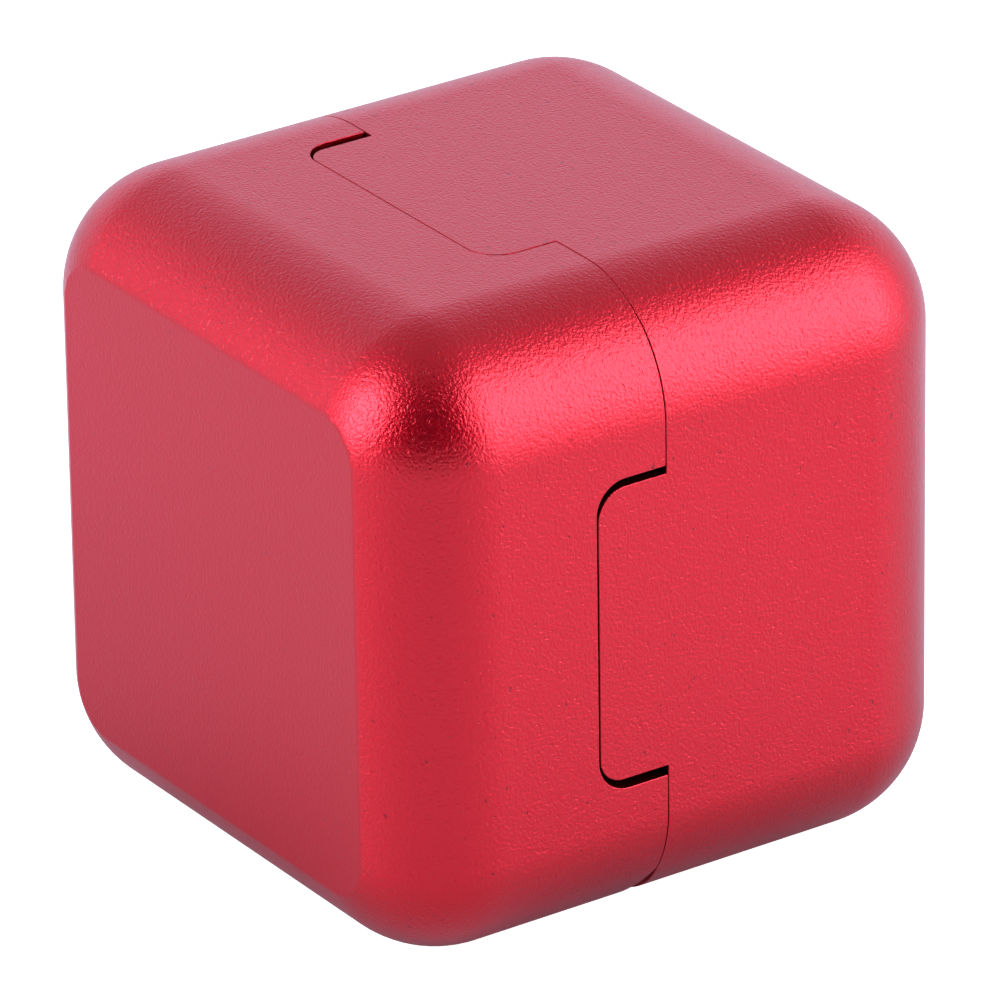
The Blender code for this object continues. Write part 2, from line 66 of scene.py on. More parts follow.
# The cube, its seam and its tongues
WIDTH, DEPTH, HEIGHT = CAD_HIGH - CAD_LOW
HALF_WIDTH, HALF_DEPTH, MID_Z = WIDTH / 2, DEPTH / 2, HEIGHT / 2
EDGE_RADIUS = 5.75 * MM
END_CUT = 0.4 * MM
SEAM_Y = -1.25 * MM
SEAM_GAP = 0.03 * MM
TONGUE_LENGTH = 3.55 * MM
SIDE_TONGUE = (-7.0 * MM, 7.0 * MM)
SIDE_TONGUE_CORNERS = (1.2 * MM, 1.4 * MM)
TOP_TONGUE = (-7.5 * MM, 6.8 * MM)
TOP_TONGUE_CORNERS = (1.0 * MM, 1.5 * MM)
SIDE_NOTCH = (-7.46 * MM, 7.36 * MM)
SIDE_NOTCH_CORNERS = (1.6 * MM, 1.5 * MM)
TOP_NOTCH = (-8.05 * MM, 6.87 * MM)
TOP_NOTCH_CORNERS = (1.5 * MM, 1.6 * MM)
SIDE_TIP_GAP = 0.07 * MM
TOP_TIP_GAP = 0.02 * MM
SIDE_WALL = 3.5 * MM
TOP_WALL = 3.5 * MM
OUTER_WALL = 3.0 * MM
FLOOR_WALL = 3.2 * MM
POCKET_CORNER = 5.0 * MM
SLOT_HALF = 8.7 * MM
SLOT_TOP = 5.0 * MM
SLOT_CORNER = 1.0 * MM
RELIEF = {"front": 1.2 * MM, "rear": 0.32 * MM}
INNER_WALL_Y = HALF_DEPTH - OUTER_WALL

# Hinges, leaf screws and magnets
HINGES = {joint["name"]: Vector(joint["pos_m"]) for joint in frame["joints"]}
PIN_Y = HINGES["rear_hinge"].y
PIN_Z = HINGES["rear_hinge"].z
PIN_RADIUS = 0.75 * MM
PIN_HALF = 7.9 * MM
PIN_DOME = 0.2 * MM
KNUCKLE_RADIUS = 1.8 * MM
KNUCKLE_BORE = 0.83 * MM
LUG_BORE = 0.80 * MM
LUG_HALF = 5.0 * MM
KNUCKLE_INNER_X = 5.2 * MM
LEAF_HALF = 8.0 * MM
LEAF_THICKNESS = 1.0 * MM
LEAF_TOP = 14.6 * MM
LEAF_CORNER = 1.6 * MM
LEAF_CLEARANCE = 0.3 * MM
LEAF_Y = PIN_Y + KNUCKLE_RADIUS
SLOT_END_Y = PIN_Y + 2.1 * MM
SCREW_X = 5.0 * MM
SCREW_Z = 11.4 * MM
SCREW_HEAD = 1.45 * MM
SCREW_SHANK = 0.75 * MM
SCREW_LENGTH = 3.2 * MM
SCREW_SOCKET = 0.6 * MM
SCREW_SOCKET_DEPTH = 0.5 * MM
SCREW_SUNK = 0.02 * MM
SCREW_RIM = 0.06 * MM
SCREW_POINT = 0.2 * MM
THREAD_TURNS = 6
THREAD_DEPTH = 0.07 * MM
MAGNET_RADIUS = 1.5 * MM
MAGNET_LENGTH = 2.0 * MM
MAGNET_X = 11.7 * MM
MAGNET_Z = 26.7 * MM
MAGNET_SUNK = 0.05 * MM
MAGNET_RIM = 0.15 * MM
FIT_GAP = 0.06 * MM

# Bearing and block
BEARING_OUTER = 6.35 * MM
BEARING_BORE = 3.175 * MM
BEARING_WIDTH = 4.76 * MM
BEARING_LOW = 3.02 * MM
BEARING_MID = BEARING_LOW + BEARING_WIDTH / 2
BALL_RADIUS = 0.794 * MM
BALL_COUNT = 10
PITCH_RADIUS = 4.763 * MM
RACE_RADIUS = 0.86 * MM
OUTER_SHOULDER = 5.22 * MM
INNER_SHOULDER = 4.3 * MM
RING_CHAMFER = 0.2 * MM
CAGE_INNER = 4.46 * MM
CAGE_OUTER = 5.07 * MM
CAGE_LOW = BEARING_MID - 0.3 * MM
CAGE_HIGH = BEARING_MID + 1.3 * MM
CAGE_POCKET = 0.87 * MM
BLOCK_HALF_X = 8.4 * MM
BLOCK_HALF_Y = 8.0 * MM
BLOCK_CORNER = 2.5 * MM
BLOCK_TOP = 9.0 * MM
LUG_STOP_GAP = 0.1 * MM
LUG_FLAT = 0.6 * MM
SEAT_RADIUS = 6.42 * MM
LIP_RADIUS = 5.6 * MM
LIP_LOW = 2.2 * MM
RECESS_RADIUS = 7.2 * MM
CLIP_LOW = 7.9 * MM
CLIP_HIGH = 8.5 * MM
CLIP_OUTER = 6.95 * MM
CLIP_INNER = 5.9 * MM
CLIP_GROOVE = 7.1 * MM
CLIP_HALF_GAP = 22
CLIP_EAR_SPAN = 13
CLIP_EAR_DEPTH = 0.75 * MM
CLIP_HOLE = 0.32 * MM
CLIP_HOLE_SHIFT = 0.25 * MM

# Finger caps
CAP_RADIUS = 6.9 * MM
CAP_FACE_LOW = 0.15 * MM
CAP_BACK_LOW = 1.9 * MM
CAP_FACE_HIGH = 11.3 * MM
CAP_BACK_HIGH = 9.35 * MM
CAP_EDGE = 0.4 * MM
CAP_BACK_CHAMFER = 0.15 * MM
CAP_DISH_RADIUS = 5.7 * MM
CAP_DISH_DEPTH = 0.7 * MM
BOSS_RADIUS = 4.0 * MM
STEM_RADIUS = 3.12 * MM
STUD_RADIUS = 1.45 * MM
STUD_BORE = 1.55 * MM
STUD_TOP = 8.2 * MM
STUD_BORE_TOP = 8.6 * MM
FACE_GAP = 0.04 * MM

# Broken edges: how wide each piece's is, and the angles in degrees that count as an edge
SHELL_EDGE = 0.045 * MM
LEAF_EDGE = 0.07 * MM
BLOCK_EDGE = 0.12 * MM
CLIP_EDGE = 0.05 * MM
CAGE_EDGE = 0.02 * MM
BROKEN_FROM = 30
SHARP_FROM = 50
FLAT_WITHIN = 0.3

# Mesh fineness, and how far a cutter runs past the face it cuts
EDGE_SEGMENTS = 26
TURNED_STEPS = 120
SMALL_STEPS = 48
ARC_STEPS = 14
FINE_ARC_STEPS = 24
RIM_STEPS = 5
MERGE = 1e-7
PAST = 2.0 * MM

# Camera, light and floor
CAMERA_AZIMUTH = 56.0
CAMERA_ELEVATION = 25.18
CAMERA_ROLL = -0.864
CAMERA_DISTANCE = 451.7 * MM
CAMERA_LENS = 366.2
AIM_RIGHT = 0.228 * MM
AIM_DOWN = 0.308 * MM
DARK_AZIMUTH = 66.0
DARK_LEVEL = 0.05
HORIZON_LEVEL = 0.9
OVERHEAD_LEVEL = 0.45
COOL_WHITE = (1.0, 1.0, 1.2, 1.0)
SOFTBOX_DISTANCE = 0.5
# painted shade: the floor is darker near the cube, standing in for the cube's shade on it as seen in
# reflections
FLOOR_SHADED = (0.5, 0.5, 0.5, 1)
FLOOR_FAR = (0.82, 0.82, 0.82, 1)
FLOOR_NEAR_REACH = 12 * MM
FLOOR_FAR_REACH = 34 * MM
FLOOR_TOUCH = 0.5 * MM


# ---------------------------------------------------------------- outlines and solids


def arc(centre, radius, start, end, steps=ARC_STEPS):
    """Points along an arc, both ends included; angles in degrees."""
    angles = [math.radians(start + (end - start) * i / steps) for i in range(steps + 1)]
    return [(centre[0] + radius * math.cos(a), centre[1] + radius * math.sin(a)) for a in angles]


def rounded_rectangle(u_low, u_high, v_low, v_high, radius, steps=ARC_STEPS):
    corners = (
        (u_high - radius, v_high - radius, 0),
        (u_low + radius, v_high - radius, 90),
        (u_low + radius, v_low + radius, 180),
        (u_high - radius, v_low + radius, 270),
    )
    points = []
    for u, v, start in corners:
        points += arc((u, v), radius, start, start + 90, steps)
    return points


def rectangle(u_low, u_high, v_low, v_high):
    return [(u_low, v_low), (u_high, v_low), (u_high, v_high), (u_low, v_high)]


def circle(centre, radius, steps=SMALL_STEPS):
    return arc(centre, radius, 0, 360, steps)[:-1]


def prism(outline, axis, low, high):
    """The outline extruded along an axis. Its (u, v) are (y, z), (x, z) or (x, y) for X, Y or Z."""
    place = {
        "X": lambda u, v: (low, u, v),
        "Y": lambda u, v: (u, low, v),
        "Z": lambda u, v: (u, v, low),
    }[axis]
    along = {"X": (1, 0, 0), "Y": (0, 1, 0), "Z": (0, 0, 1)}[axis]
    shape = bmesh.new()
    face = shape.faces.new([shape.verts.new(place(u, v)) for u, v in outline])
    made = bmesh.ops.extrude_face_region(shape, geom=[face])
    moved = [v for v in made["geom"] if isinstance(v, bmesh.types.BMVert)]
    bmesh.ops.translate(shape, verts=moved, vec=[(high - low) * a for a in along])
    bmesh.ops.recalc_face_normals(shape, faces=shape.faces)
    return shape


def turned(profile, steps=TURNED_STEPS, matrix=None):
    """A (radius, height) profile spun about Z. One that starts on the axis is left open there."""
    shape = bmesh.new()
    points = [shape.verts.new((radius, 0, height)) for radius, height in profile]
    pairs = list(zip(points, points[1:]))
    if profile[0][0] > 0:
        pairs.append((points[-1], points[0]))
    edges = [shape.edges.new(pair) for pair in pairs]
    bmesh.ops.spin(
        shape,
        geom=points + edges,
        cent=(0, 0, 0),
        axis=(0, 0, 1),
        angle=math.tau,
        steps=steps,
        use_merge=True,
    )
    bmesh.ops.remove_doubles(shape, verts=shape.verts, dist=MERGE)
    bmesh.ops.recalc_face_normals(shape, faces=shape.faces)
    if matrix is not None:
        bmesh.ops.transform(shape, matrix=matrix, verts=shape.verts)
    return shape


def rounded_rod(radius, low, high, rim):
    """The profile of a rod along Z with both rims rounded, to be turned."""
    return (
        [(0, high)]
        + arc((radius - rim, high - rim), rim, 90, 0, RIM_STEPS)
        + arc((radius - rim, low + rim), rim, 0, -90, RIM_STEPS)
        + [(0, low)]
    )


def joined(shapes):
    """Several shapes as one mesh of separate bodies, for use as a cutter."""
    whole = bmesh.new()
    for shape in shapes:
        part = bpy.data.meshes.new("part")
        shape.to_mesh(part)
        shape.free()
        whole.from_mesh(part)
        bpy.data.meshes.remove(part)
    return whole


def rounded_box():
    """The whole cube, every edge rounded. The two end faces are cut past the start of the rounds."""
    shape = bmesh.new()
    bmesh.ops.create_cube(shape, size=1.0)
    bmesh.ops.scale(shape, vec=(WIDTH, DEPTH + 2 * END_CUT, HEIGHT), verts=shape.verts)
    bmesh.ops.translate(shape, vec=(0, 0, MID_Z), verts=shape.verts)
    bmesh.ops.bevel(
        shape,
        geom=shape.edges[:] + shape.verts[:],
        offset=EDGE_RADIUS,
        segments=EDGE_SEGMENTS,
        profile=0.5,
        affect="EDGES",
    )
    bmesh.ops.remove_doubles(shape, verts=shape.verts, dist=MERGE)
    for away in (-1, 1):
        cut = bmesh.ops.bisect_plane(
            shape,
            geom=shape.verts[:] + shape.edges[:] + shape.faces[:],
            plane_co=(0, away * HALF_DEPTH, 0),
            plane_no=(0, away, 0),
            clear_outer=True,
        )
        border = [item for item in cut["geom_cut"] if isinstance(item, bmesh.types.BMEdge)]
        bmesh.ops.contextual_create(shape, geom=border)
    bmesh.ops.recalc_face_normals(shape, faces=shape.faces)
    return shape


def along_y(x, z, y, away):
    """Carries a shape turned about Z to one about an axis along Y: its height 0 lands on y."""
    return Matrix.Translation((x, y, z)) @ Matrix.Rotation(math.radians(-90 * away), 4, "X")


# ---------------------------------------------------------------- pieces


def new_object(name, shape):
    mesh = bpy.data.meshes.new(name)
    shape.to_mesh(mesh)
    shape.free()
    thing = bpy.data.objects.new(name, mesh)
    bpy.context.scene.collection.objects.link(thing)
    return thing


def bake(thing):
    """Replaces an object's mesh with the mesh its modifiers make."""
    graph = bpy.context.evaluated_depsgraph_get()
    mesh = bpy.data.meshes.new_from_object(thing.evaluated_get(graph))
    thing.modifiers.clear()
    thing.data = mesh


def carve(thing, shape, operation="DIFFERENCE"):
    cutter = new_object("cutter", shape)
    modifier = thing.modifiers.new("carve", "BOOLEAN")
    modifier.operation = operation
    modifier.solver = "EXACT"
    modifier.object = cutter
    bake(thing)
    bpy.data.objects.remove(cutter)


def tidy_mesh(thing, nearest):
    """Merges the faces that lie in one plane and the corners closer than nearest."""
    mesh = bmesh.new()
    mesh.from_mesh(thing.data)
    bmesh.ops.remove_doubles(mesh, verts=mesh.verts, dist=nearest)
    bmesh.ops.dissolve_limit(
        mesh, angle_limit=math.radians(FLAT_WITHIN), verts=mesh.verts, edges=mesh.edges
    )
    mesh.to_mesh(thing.data)
    mesh.free()


def soften(thing, width):
    """Breaks every sharp edge by a small round."""
    tidy_mesh(thing, width / 2)
    modifier = thing.modifiers.new("broken_edges", "BEVEL")
    modifier.width = width
    modifier.segments = 2
    modifier.limit_method = "ANGLE"
    modifier.angle_limit = math.radians(BROKEN_FROM)
    modifier.use_clamp_overlap = False
    modifier.miter_outer = "MITER_ARC"
    bake(thing)


def finished(thing, body, node, material):
    """Smooth shading, a material, a body to ride on and the CAD node it stands for."""
    thing.data.materials.clear()
    thing.data.materials.append(material)
    thing.data.shade_smooth()
    thing.data.set_sharp_from_angle(angle=math.radians(SHARP_FROM))
    weights = thing.modifiers.new("flat_faces", "WEIGHTED_NORMAL")
    weights.keep_sharp = True
    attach(thing, body)
    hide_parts(node)
    return thing


# ---------------------------------------------------------------- shells


def tab_outline(span, corners, tip_y, mouth_y):
    """A tab in (side, y): its two tip corners are rounded, and it runs on past its mouth."""
    low, high = span
    near, far = corners
    return (
        [(high, mouth_y)]
        + arc((high - far, tip_y + far), far, 0, -90)
        + arc((low + near, tip_y + near), near, -90, -180)
        + [(low, mouth_y)]
    )


def tabs(side, side_corners, top, top_corners, side_tip, top_tip):
    """Prisms for the left, right and top tabs, from inside the pocket to outside the cube."""
    mouth_y = SEAM_Y + PAST
    heights = [MID_Z + z for z in side]
    flank = [(y, z) for z, y in tab_outline(heights, side_corners, side_tip, mouth_y)]
    roof = tab_outline(top, top_corners, top_tip, mouth_y)
    inner_x = HALF_WIDTH - SIDE_WALL - PAST
    return [
        prism(flank, "X", inner_x, HALF_WIDTH + PAST),
        prism(flank, "X", -HALF_WIDTH - PAST, -inner_x),
        prism(roof, "Z", HEIGHT - TOP_WALL - PAST, HEIGHT + PAST),
    ]


def tongue_prisms():
    tip_y = SEAM_Y - SEAM_GAP / 2 - TONGUE_LENGTH
    return tabs(SIDE_TONGUE, SIDE_TONGUE_CORNERS, TOP_TONGUE, TOP_TONGUE_CORNERS, tip_y, tip_y)


def notch_prisms():
    tip_y = SEAM_Y - SEAM_GAP / 2 - TONGUE_LENGTH
    return tabs(
        SIDE_NOTCH,
        SIDE_NOTCH_CORNERS,
        TOP_NOTCH,
        TOP_NOTCH_CORNERS,
        tip_y - SIDE_TIP_GAP,
        tip_y - TOP_TIP_GAP,
    )


def pocket(away):
    outline = rounded_rectangle(
        -HALF_WIDTH + SIDE_WALL, HALF_WIDTH - SIDE_WALL, FLOOR_WALL, HEIGHT - TOP_WALL, POCKET_CORNER
    )
    mouth = SEAM_Y - away * (TONGUE_LENGTH + PAST)
    return prism(outline, "Y", *sorted((mouth, away * INNER_WALL_Y)))


def relief(face_y, away, depth):
    """A thin wedge off the parting face below the pins, where the two shells roll past each other."""
    outline = [
        (face_y - away * PAST, -PAST),
        (face_y - away * PAST, PIN_Z),
        (face_y, PIN_Z),
        (face_y + away * depth * (1 + PAST / PIN_Z), -PAST),
    ]
    return prism(outline, "X", -HALF_WIDTH - PAST, HALF_WIDTH + PAST)


def slot(away):
    """The opening in a shell's underside for the block and its hinge."""
    ends = sorted((away * SLOT_END_Y, -away * HALF_DEPTH))
    outline = rounded_rectangle(-SLOT_HALF, SLOT_HALF, ends[0], ends[1], SLOT_CORNER)
    return prism(outline, "Z", -PAST, SLOT_TOP)


def magnet_places(face_y, away):
    return [along_y(side * MAGNET_X, MAGNET_Z, face_y, away) for side in (-1, 1)]


def screw_places(away):
    return [
        along_y(side * SCREW_X, SCREW_Z, away * (LEAF_Y - LEAF_THICKNESS), away) for side in (-1, 1)
    ]


def blind_holes(face_y, away):
    """Cutters for the two magnet seats in the parting face and the two screw holes in the outer wall."""
    seat = MAGNET_RADIUS + FIT_GAP
    seat_depth = MAGNET_SUNK + MAGNET_LENGTH + FIT_GAP
    magnet_hole = [(0, seat_depth), (seat, seat_depth), (seat, -PAST), (0, -PAST)]
    hole = SCREW_SHANK + FIT_GAP
    depth = SCREW_LENGTH + FIT_GAP
    screw_hole = [(0, depth), (hole, depth), (hole, 0), (0, 0)]
    return [turned(magnet_hole, SMALL_STEPS, m) for m in magnet_places(face_y, away)] + [
        turned(screw_hole, SMALL_STEPS, m) for m in screw_places(away)
    ]


def shell(name, away):
    """One half of the cube: the front one has notches, the rear one has tongues."""
    face_y = SEAM_Y + away * SEAM_GAP / 2
    whole = new_object(f"{name}_shell_body", rounded_box())
    beyond = sorted((face_y, -away * (HALF_DEPTH + PAST)))
    other_half = new_object(
        "other_half", prism(rectangle(-WIDTH, WIDTH, -PAST, HEIGHT + PAST), "Y", *beyond)
    )
    if away > 0:
        carve(other_half, joined(tongue_prisms()))
    cut = bmesh.new()
    cut.from_mesh(other_half.data)
    bpy.data.objects.remove(other_half)
    carve(whole, cut)
    if away < 0:
        carve(whole, joined(notch_prisms()))
    carve(whole, pocket(away))
    carve(whole, slot(away))
    carve(whole, relief(face_y, away, RELIEF[name]))
    carve(whole, joined(blind_holes(face_y, away)))
    soften(whole, SHELL_EDGE)
    return whole


def magnets(name, away):
    """Two plated discs in the parting face, with rolled rims."""
    face_y = SEAM_Y + away * SEAM_GAP / 2
    body = rounded_rod(MAGNET_RADIUS, MAGNET_SUNK, MAGNET_SUNK + MAGNET_LENGTH, MAGNET_RIM)
    return {
        f"{name}_magnet_{side}": turned(body, SMALL_STEPS, m)
        for side, m in zip(("left", "right"), magnet_places(face_y, away))
    }


# ---------------------------------------------------------------- hinges


def hinge_leaf(name, away):
    """A plate along the shell's outer wall, with two rolled knuckles round the pin."""
    low, high = LEAF_Y - LEAF_THICKNESS, LEAF_Y
    meet = math.degrees(math.acos((low - PIN_Y) / KNUCKLE_RADIUS))
    roll = [(away * u, v) for u, v in arc((PIN_Y, PIN_Z), KNUCKLE_RADIUS, meet, 360, 40)]
    knuckle = roll + [(away * high, LEAF_TOP / 2), (away * low, LEAF_TOP / 2)]
    plate = rounded_rectangle(
        -LEAF_HALF, LEAF_HALF, PIN_Z + KNUCKLE_RADIUS + LEAF_CLEARANCE, LEAF_TOP, LEAF_CORNER
    )
    leaf = new_object(f"{name}_leaf_plate", prism(plate, "Y", *sorted((away * low, away * high))))
    for side in (-1, 1):
        ends = sorted((side * KNUCKLE_INNER_X, side * LEAF_HALF))
        carve(leaf, prism(knuckle, "X", *ends), "UNION")
    carve(leaf, prism(circle((away * PIN_Y, PIN_Z), KNUCKLE_BORE), "X", -WIDTH, WIDTH))
    sink = [
        (0, LEAF_THICKNESS + PAST),
        (SCREW_SHANK + FIT_GAP, LEAF_THICKNESS + PAST),
        (SCREW_SHANK + FIT_GAP, SCREW_HEAD - SCREW_SHANK),
        (SCREW_HEAD + FIT_GAP, 0),
        (SCREW_HEAD + FIT_GAP, -PAST),
        (0, -PAST),
    ]
    carve(leaf, joined([turned(sink, SMALL_STEPS, m) for m in screw_places(away)]))
    soften(leaf, LEAF_EDGE)
    return leaf


def leaf_screw(name, place):
    """A countersunk screw with a hexagon socket and a rolled thread."""
    neck = SCREW_HEAD - SCREW_SHANK + SCREW_SUNK
    pitch = (SCREW_LENGTH - neck - 1.5 * SCREW_POINT) / THREAD_TURNS
    thread = []
    for i in range(THREAD_TURNS):
        top = SCREW_LENGTH - SCREW_POINT - i * pitch
        thread += [(SCREW_SHANK, top), (SCREW_SHANK - THREAD_DEPTH, top - pitch / 2)]
    head = [
        (SCREW_SHANK, neck),
        (SCREW_HEAD, SCREW_SUNK + SCREW_RIM),
        (SCREW_HEAD - SCREW_RIM, SCREW_SUNK),
        (0, SCREW_SUNK),
    ]
    point = [(0, SCREW_LENGTH), (SCREW_SHANK - SCREW_POINT, SCREW_LENGTH)]
    body = point + thread + head
    screw = new_object(name, turned(body, SMALL_STEPS, place))
    socket = prism(circle((0, 0), SCREW_SOCKET, 6), "Z", -PAST, SCREW_SOCKET_DEPTH)
    bmesh.ops.transform(socket, matrix=place, verts=socket.verts)
    carve(screw, socket)
    return screw


def hinge_pin(away):
    """A ground pin with domed ends."""
    place = Matrix.Translation((0, away * PIN_Y, PIN_Z)) @ Matrix.Rotation(math.pi / 2, 4, "Y")
    return turned(rounded_rod(PIN_RADIUS, -PIN_HALF, PIN_HALF, PIN_DOME), SMALL_STEPS, place)


# ---------------------------------------------------------------- bearing block


def bearing_block():
    """A square body with a lug at each end for the hinge pins, and the stepped bore."""
    plan = rounded_rectangle(-BLOCK_HALF_X, BLOCK_HALF_X, -BLOCK_HALF_Y, BLOCK_HALF_Y, BLOCK_CORNER)
    block = new_object("bearing_block_body", prism(plan, "Z", 0, BLOCK_TOP))
    stop_z = PIN_Z - (SLOT_END_Y - PIN_Y) + LUG_STOP_GAP
    root = BLOCK_HALF_Y - PAST
    for away in (-1, 1):
        end = arc((PIN_Y, PIN_Z), KNUCKLE_RADIUS, -90, 90, FINE_ARC_STEPS)
        foot = [(root, stop_z), (PIN_Y - LUG_FLAT, stop_z)]
        lug = foot + end + [(root, PIN_Z + KNUCKLE_RADIUS)]
        carve(block, prism([(away * u, v) for u, v in lug], "X", -LUG_HALF, LUG_HALF), "UNION")
    bore = [
        (0, -PAST),
        (RECESS_RADIUS, -PAST),
        (RECESS_RADIUS, LIP_LOW),
        (LIP_RADIUS, LIP_LOW),
        (LIP_RADIUS, BEARING_LOW - FACE_GAP),
        (SEAT_RADIUS, BEARING_LOW - FACE_GAP),
        (SEAT_RADIUS, CLIP_LOW - FACE_GAP),
        (CLIP_GROOVE, CLIP_LOW - FACE_GAP),
        (CLIP_GROOVE, CLIP_HIGH + FACE_GAP),
        (SEAT_RADIUS, CLIP_HIGH + FACE_GAP),
        (SEAT_RADIUS, BLOCK_TOP + PAST),
        (0, BLOCK_TOP + PAST),
    ]
    carve(block, turned(bore))
    ends = [circle((away * PIN_Y, PIN_Z), LUG_BORE) for away in (-1, 1)]
    carve(block, joined([prism(end, "X", -WIDTH, WIDTH) for end in ends]))
    soften(block, BLOCK_EDGE)
    return block


def retaining_ring():
    """The open spring ring above the bearing, with a pierced ear on each side of its gap."""
    gap, ear = CLIP_HALF_GAP, CLIP_EAR_SPAN
    ear_radius = CLIP_INNER - CLIP_EAR_DEPTH
    outline = (
        arc((0, 0), CLIP_OUTER, gap, 360 - gap, TURNED_STEPS)
        + arc((0, 0), ear_radius, 360 - gap, 360 - gap - ear, 6)
        + arc((0, 0), CLIP_INNER, 360 - gap - ear, gap + ear, TURNED_STEPS)
        + arc((0, 0), ear_radius, gap + ear, gap, 6)
    )
    ring = new_object("retaining_ring_body", prism(outline, "Z", CLIP_LOW, CLIP_HIGH))
    middle = math.radians(gap + ear / 2)
    radius = (ear_radius + CLIP_INNER) / 2 + CLIP_HOLE_SHIFT
    holes = [
        circle((radius * math.cos(side * middle), radius * math.sin(side * middle)), CLIP_HOLE, 24)
        for side in (-1, 1)
    ]
    carve(ring, joined([prism(hole, "Z", CLIP_LOW - PAST, CLIP_HIGH + PAST) for hole in holes]))
    soften(ring, CLIP_EDGE)
    return ring


# ---------------------------------------------------------------- bearing


def bearing_ring(face_radius, shoulder, inward):
    """A bearing ring: a ground face, rounded corners and a round groove on its shoulder."""
    low, high = BEARING_LOW, BEARING_LOW + BEARING_WIDTH
    half = math.degrees(math.acos(abs(shoulder - PITCH_RADIUS) / RACE_RADIUS))
    side, under = (180, 270) if inward else (0, -90)
    groove = arc((PITCH_RADIUS, BEARING_MID), RACE_RADIUS, side - half, side + half, FINE_ARC_STEPS)
    if inward:
        groove.reverse()
    step = -RING_CHAMFER if inward else RING_CHAMFER
    corner, lip = face_radius - step, shoulder + step / 2
    profile = (
        [(shoulder, low + RING_CHAMFER / 2)]
        + groove
        + [(shoulder, high - RING_CHAMFER / 2), (lip, high)]
        + arc((corner, high - RING_CHAMFER), RING_CHAMFER, 90, side, RIM_STEPS)
        + arc((corner, low + RING_CHAMFER), RING_CHAMFER, side, under, RIM_STEPS)
        + [(lip, low)]
    )
    return turned(profile)


def ball_angles():
    return [math.tau * i / BALL_COUNT for i in range(BALL_COUNT)]


def bearing_cage():
    """The crown cage: a ring with an open pocket for each ball."""
    profile = rectangle(CAGE_INNER, CAGE_OUTER, CAGE_LOW, CAGE_HIGH)
    cage = new_object("bearing_cage_body", turned(profile))
    pockets = []
    for turn in ball_angles():
        hole = prism(
            circle((0, BEARING_MID), CAGE_POCKET, 40), "X", CAGE_INNER - PAST, CAGE_OUTER + PAST
        )
        bmesh.ops.rotate(hole, matrix=Matrix.Rotation(turn, 3, "Z"), verts=hole.verts)
        pockets.append(hole)
    carve(cage, joined(pockets))
    soften(cage, CAGE_EDGE)
    return cage


def bearing_ball(turn):
    shape = bmesh.new()
    bmesh.ops.create_icosphere(shape, subdivisions=4, radius=BALL_RADIUS)
    place = Vector((PITCH_RADIUS * math.cos(turn), PITCH_RADIUS * math.sin(turn), BEARING_MID))
    bmesh.ops.translate(shape, verts=shape.verts, vec=place)
    return shape


# ---------------------------------------------------------------- finger caps


def dish(face_z, inward):
    """The hollow of a cap's face, from its middle to its rim."""
    parts = [i / FINE_ARC_STEPS for i in range(FINE_ARC_STEPS + 1)]
    return [
        (CAP_DISH_RADIUS * part, face_z + inward * CAP_DISH_DEPTH * (1 - part**2)) for part in parts
    ]


def cap_rim(face_z, inward):
    """The rounded edge from a cap's flat rim to its side."""
    centre = (CAP_RADIUS - CAP_EDGE, face_z + inward * CAP_EDGE)
    return arc(centre, CAP_EDGE, -90 * inward, 0, 8)


def lower_cap():
    boss_top = BEARING_LOW - FACE_GAP
    return turned(
        dish(CAP_FACE_LOW, 1)
        + cap_rim(CAP_FACE_LOW, 1)
        + [
            (CAP_RADIUS, CAP_BACK_LOW - CAP_BACK_CHAMFER),
            (CAP_RADIUS - CAP_BACK_CHAMFER, CAP_BACK_LOW),
            (BOSS_RADIUS, CAP_BACK_LOW),
            (BOSS_RADIUS, boss_top),
            (STEM_RADIUS, boss_top),
            (STEM_RADIUS, BEARING_MID - FACE_GAP),
            (STUD_RADIUS, BEARING_MID - FACE_GAP),
            (STUD_RADIUS, STUD_TOP),
            (0, STUD_TOP),
        ]
    )


def upper_cap():
    boss_low = BEARING_LOW + BEARING_WIDTH + FACE_GAP
    return turned(
        dish(CAP_FACE_HIGH, -1)
        + cap_rim(CAP_FACE_HIGH, -1)
        + [
            (CAP_RADIUS, CAP_BACK_HIGH + CAP_BACK_CHAMFER),
            (CAP_RADIUS - CAP_BACK_CHAMFER, CAP_BACK_HIGH),
            (BOSS_RADIUS, CAP_BACK_HIGH),
            (BOSS_RADIUS, boss_low),
            (STEM_RADIUS, boss_low),
            (STEM_RADIUS, BEARING_MID + FACE_GAP),
            (STUD_BORE, BEARING_MID + FACE_GAP),
            (STUD_BORE, STUD_BORE_TOP),
            (0, STUD_BORE_TOP),
        ]
    )


# ---------------------------------------------------------------- materials


